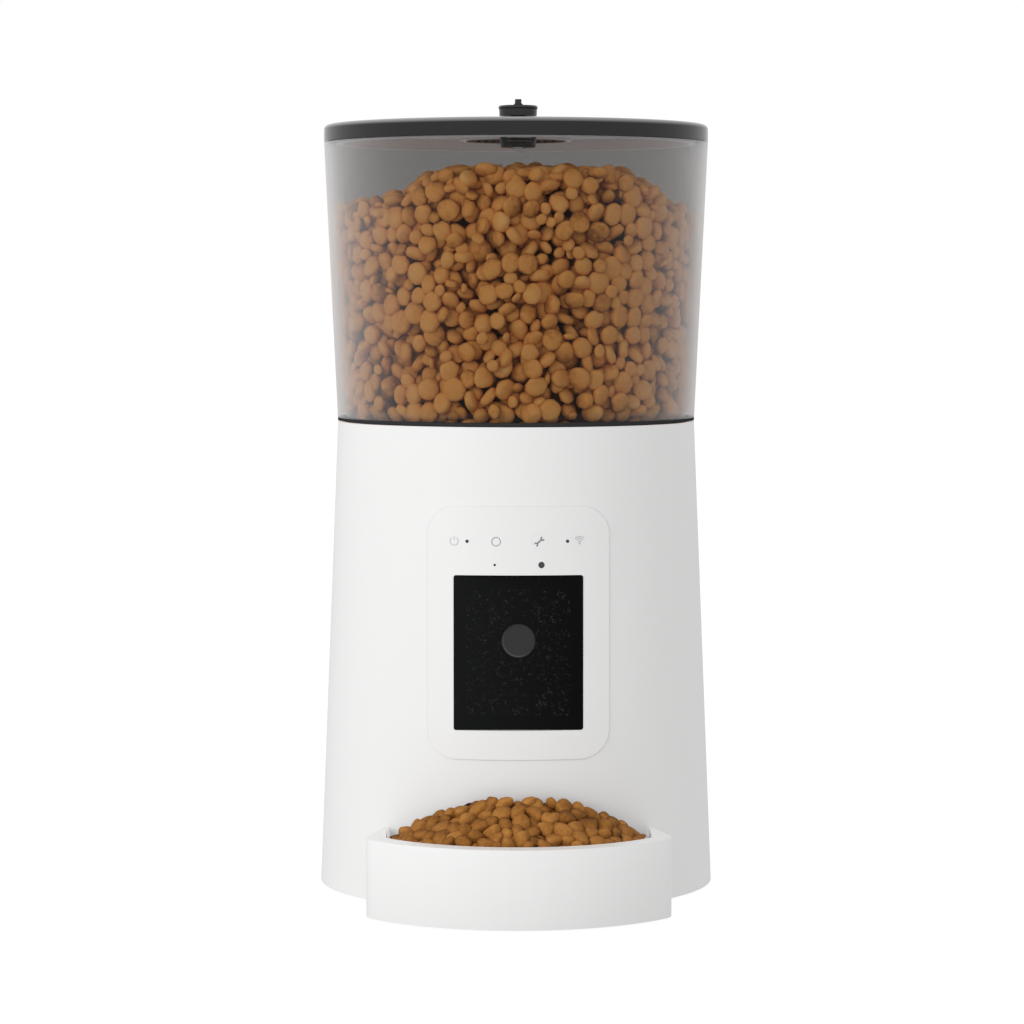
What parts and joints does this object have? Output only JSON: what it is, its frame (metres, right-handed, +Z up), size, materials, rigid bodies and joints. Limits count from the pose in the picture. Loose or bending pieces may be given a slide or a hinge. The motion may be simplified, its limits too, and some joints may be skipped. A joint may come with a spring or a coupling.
{
  "type": "automatic pet feeder",
  "caption": "Automatic pet feeder: smoked see-through food tank with a round lid on a white conical base, camera panel in front, tray with a lift-out steel bowl.",
  "frame": {"origin": "on the table, in the middle of the object's footprint; the body's own axis stands 27 mm behind it", "axes": "+Z up, -Y the front, where the tray and the camera panel are, +X the feeder's left side as seen from behind it (right side of the front view)"},
  "size_m": [0.2118, 0.2659, 0.4179],
  "materials": {
    "lid_black": "glossy black moulded plastic",
    "knob_black": "satin-gloss black plastic",
    "seal_grey": "soft matt silicone",
    "desiccant": "woven pouch",
    "smoked_clear": "clear smoked plastic",
    "shell_white": "satin-gloss white plastic",
    "tray_white": "gloss white plastic",
    "inner_white": "matt white plastic",
    "inner_grey": "matt grey plastic",
    "gear_nylon": "natural nylon",
    "steel": "brushed stainless steel",
    "screw_steel": "zinc-plated steel",
    "bronze": "sintered bronze",
    "motor_steel": "drawn steel can",
    "window_black": "black gloss panel",
    "lens_grey": "dark grey coated lens",
    "board_green": "solder resist",
    "dark_plastic": "matt black plastic",
    "rubber_dark": "rubber",
    "cell_wrap": "printed-free cell wrap",
    "light_pipe": "dark light pipe"
  },
  "bodies": {
    "base": {"base_shell": "shell_white", "hopper_deck": "inner_white", "rotor_housing": "inner_white", "housing_floor": "inner_white", "portion_plate": "inner_white", "wiper_flaps": "seal_grey", "chute": "inner_white", "food_sensors": "dark_plastic", "gearbox_case": "inner_grey", "gearbox_cover": "inner_grey", "gearbox_screws": "screw_steel", "idler_pin": "steel", "shaft_bushes": "bronze", "motor_can": "motor_steel", "bottom_cover": "inner_white", "bottom_screws": "screw_steel", "rubber_feet": "rubber_dark", "batteries": "cell_wrap", "battery_contacts": "screw_steel", "control_panel": "shell_white", "camera_window": "window_black", "camera_barrel": "lens_grey", "camera_lens": "lens_grey", "camera_board": "board_green", "control_board": "board_green", "tact_switches": "dark_plastic", "led_pipes": "light_pipe", "microphone": "dark_plastic", "light_sensor": "light_pipe", "main_board": "board_green", "speaker": "dark_plastic", "power_inlet": "dark_plastic"},
    "hopper": {"hopper": "smoked_clear"},
    "lid": {"lid": "lid_black", "lid_seal": "seal_grey", "desiccant_pack": "desiccant", "desiccant_cover": "inner_grey"},
    "knob": {"lid_knob": "knob_black", "latch_tongue": "knob_black", "latch_screw": "screw_steel"},
    "rotor": {"rotor": "inner_white", "rotor_shaft": "steel", "output_gear": "gear_nylon", "agitator": "inner_grey"},
    "idler": {"idler_gear": "gear_nylon"},
    "motor_rotor": {"motor_pinion": "bronze", "motor_shaft": "steel"},
    "feed_button": {"feed_button": "shell_white"},
    "settings_button": {"settings_button": "shell_white"},
    "battery_door": {"battery_door": "inner_white"},
    "tray": {"bowl_tray": "tray_white", "tray_feet": "rubber_dark"},
    "bowl": {"steel_bowl": "steel"}
  },
  "joints": [
    {"name": "hopper_lift", "type": "slide", "parent": "base", "child": "hopper", "axis": [0, 0, 1], "range_m": [0, 0.12]},
    {"name": "lid_lift", "type": "slide", "parent": "hopper", "child": "lid", "axis": [0, 0, 1], "range_m": [0, 0.08]},
    {"name": "knob_turn", "type": "hinge", "parent": "lid", "child": "knob", "pos_m": [0, -0.054, 0.41], "axis": [0, 0, 1], "range_deg": [0, 180]},
    {"name": "rotor_spin", "type": "hinge", "parent": "base", "child": "rotor", "pos_m": [0, 0.027, 0.12], "axis": [0, 0, 1], "continuous": true},
    {"name": "idler_spin", "type": "hinge", "parent": "base", "child": "idler", "pos_m": [0, 0.063, 0.12], "axis": [0, 0, 1], "continuous": true},
    {"name": "motor_spin", "type": "hinge", "parent": "base", "child": "motor_rotor", "pos_m": [0.02, 0.08798, 0.11], "axis": [0, 0, 1], "continuous": true},
    {"name": "feed_press", "type": "slide", "parent": "base", "child": "feed_button", "axis": [0, 0.9992, -0.04], "range_m": [0, 0.0008], "stiffness_N_per_m": 500, "springref_m": -0.001},
    {"name": "settings_press", "type": "slide", "parent": "base", "child": "settings_button", "axis": [0, 0.9992, -0.04], "range_m": [0, 0.0008], "stiffness_N_per_m": 500, "springref_m": -0.001},
    {"name": "battery_door_slide", "type": "slide", "parent": "base", "child": "battery_door", "axis": [0, 1, 0], "range_m": [0, 0.007]},
    {"name": "tray_slide", "type": "slide", "parent": "base", "child": "tray", "axis": [0, -1, 0], "range_m": [0, 0.05]},
    {"name": "bowl_lift", "type": "slide", "parent": "tray", "child": "bowl", "axis": [0, 0, 1], "range_m": [0, 0.06]}
  ],
  "couplings": [
    {"joint": "idler_spin", "follows": "motor_spin", "ratio": -0.33333},
    {"joint": "rotor_spin", "follows": "motor_spin", "ratio": 0.095238}
  ]
}
